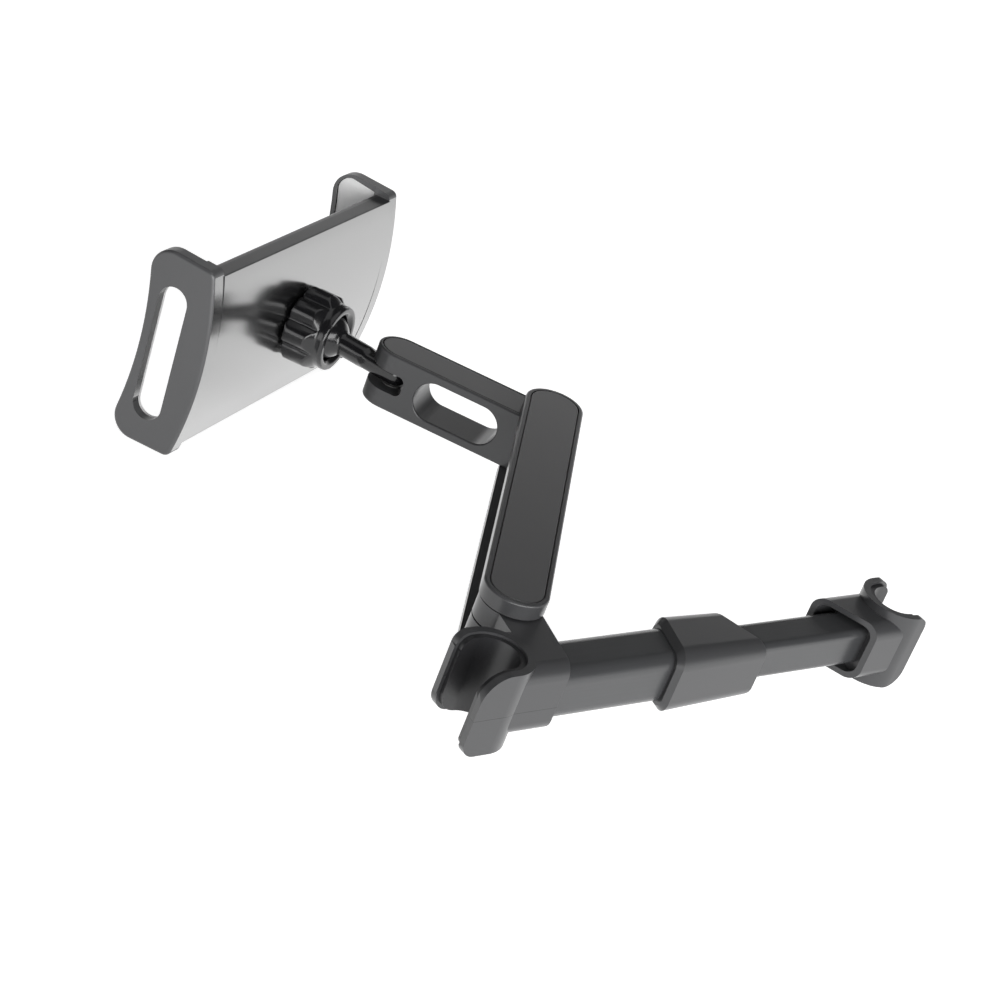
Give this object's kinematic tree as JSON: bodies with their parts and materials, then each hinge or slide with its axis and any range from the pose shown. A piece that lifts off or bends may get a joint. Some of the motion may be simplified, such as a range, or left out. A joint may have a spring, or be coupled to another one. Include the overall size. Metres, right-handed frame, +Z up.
{
  "type": "headrest tablet mount",
  "caption": "Headrest tablet mount: a telescopic bar hooks on the headrest posts and swing arms with a ball joint carry a holder with spring jaws.",
  "frame": {"origin": "on the axis of the left claw's post channel, at mid height of the bar", "axes": "+X along the bar to the right claw, +Y from the headrest towards the back seat, +Z up along the headrest posts"},
  "size_m": [0.187, 0.2608, 0.0679],
  "materials": {
    "black_plastic": "satin black moulded plastic",
    "cover_plastic": "matte black moulded plastic",
    "black_rubber": "soft matte black rubber",
    "black_tube": "black anodised, satin",
    "steel_pin": "plain steel",
    "washer_nylon": "plain nylon"
  },
  "bodies": {
    "bar_clamp": {"clamp_housing": "black_plastic", "left_claw_liner": "black_rubber", "outer_tube": "black_tube", "bar_sleeve": "black_plastic"},
    "bar_slider": {"inner_tube": "black_tube", "right_clamp": "black_plastic", "right_claw_liner": "black_rubber"},
    "long_arm": {"long_arm_upper_plate": "black_plastic", "long_arm_upper_cover": "cover_plastic", "long_arm_lower_plate": "black_plastic", "long_arm_lower_cover": "cover_plastic", "base_pivot_pin": "steel_pin", "elbow_pivot_pin": "steel_pin", "pivot_washers": "washer_nylon"},
    "short_arm": {"short_arm": "black_plastic", "short_arm_upper_cover": "cover_plastic", "short_arm_lower_cover": "cover_plastic", "fork_pivot_pin": "steel_pin", "fork_washers": "washer_nylon"},
    "stem": {"ball_stem": "black_plastic"},
    "liner": {"ball_liner": "black_plastic"},
    "socket": {"socket_cup": "black_plastic"},
    "knob": {"knob_nut": "black_plastic"},
    "holder": {"holder_back": "black_plastic", "holder_front": "black_plastic", "holder_front_pad": "black_rubber", "holder_screws": "steel_pin"},
    "jaw_left": {"left_jaw": "black_plastic", "left_jaw_pad": "black_rubber"},
    "jaw_right": {"right_jaw": "black_plastic", "right_jaw_pad": "black_rubber"},
    "pinion": {"sync_pinion": "black_plastic"}
  },
  "joints": [
    {"name": "bar_length", "type": "slide", "parent": "bar_clamp", "child": "bar_slider", "axis": [1, 0, 0], "range_m": [-0.032, 0.014]},
    {"name": "long_arm_swing", "type": "hinge", "parent": "bar_clamp", "child": "long_arm", "pos_m": [0.0214, 0.0208, 0.003], "axis": [0, 0, 1], "range_deg": [-41, 125]},
    {"name": "elbow_swing", "type": "hinge", "parent": "long_arm", "child": "short_arm", "pos_m": [0.10902, 0.11329, 0.003], "axis": [0, 0, 1], "range_deg": [-100, 50]},
    {"name": "fork_swing", "type": "hinge", "parent": "short_arm", "child": "stem", "pos_m": [0.07901, 0.15879, 0.003], "axis": [0, 0, -1], "range_deg": [-60, 80]},
    {"name": "ball_yaw", "type": "hinge", "parent": "stem", "child": "liner", "pos_m": [0.06725, 0.18584, 0.003], "axis": [0, 0, 1], "range_deg": [-20, 20]},
    {"name": "ball_pitch", "type": "hinge", "parent": "liner", "child": "socket", "pos_m": [0.06725, 0.18584, 0.003], "axis": [0.8886, 0.4586, 0], "range_deg": [-20, 20]},
    {"name": "holder_roll", "type": "hinge", "parent": "socket", "child": "holder", "pos_m": [0.06725, 0.18584, 0.003], "axis": [-0.458, 0.8874, -0.0523], "continuous": true},
    {"name": "knob_turn", "type": "hinge", "parent": "socket", "child": "knob", "pos_m": [0.06725, 0.18584, 0.003], "axis": [-0.458, 0.8874, -0.0523], "range_deg": [-15, 345]},
    {"name": "left_jaw_pull", "type": "slide", "parent": "holder", "child": "jaw_left", "axis": [-0.8886, -0.4586, 0], "range_m": [0, 0.03], "stiffness_N_per_m": 200, "springref_m": -0.04},
    {"name": "right_jaw_pull", "type": "slide", "parent": "holder", "child": "jaw_right", "axis": [0.8886, 0.4586, 0], "range_m": [0, 0.03]},
    {"name": "pinion_turn", "type": "hinge", "parent": "holder", "child": "pinion", "pos_m": [0.05963, 0.20062, 0.00213], "axis": [0.458, -0.8874, 0.0523], "range_deg": [0, 286.48]}
  ],
  "couplings": [
    {"joint": "right_jaw_pull", "follows": "left_jaw_pull", "ratio": 1},
    {"joint": "pinion_turn", "follows": "left_jaw_pull", "rad_per_m": 166.67}
  ]
}
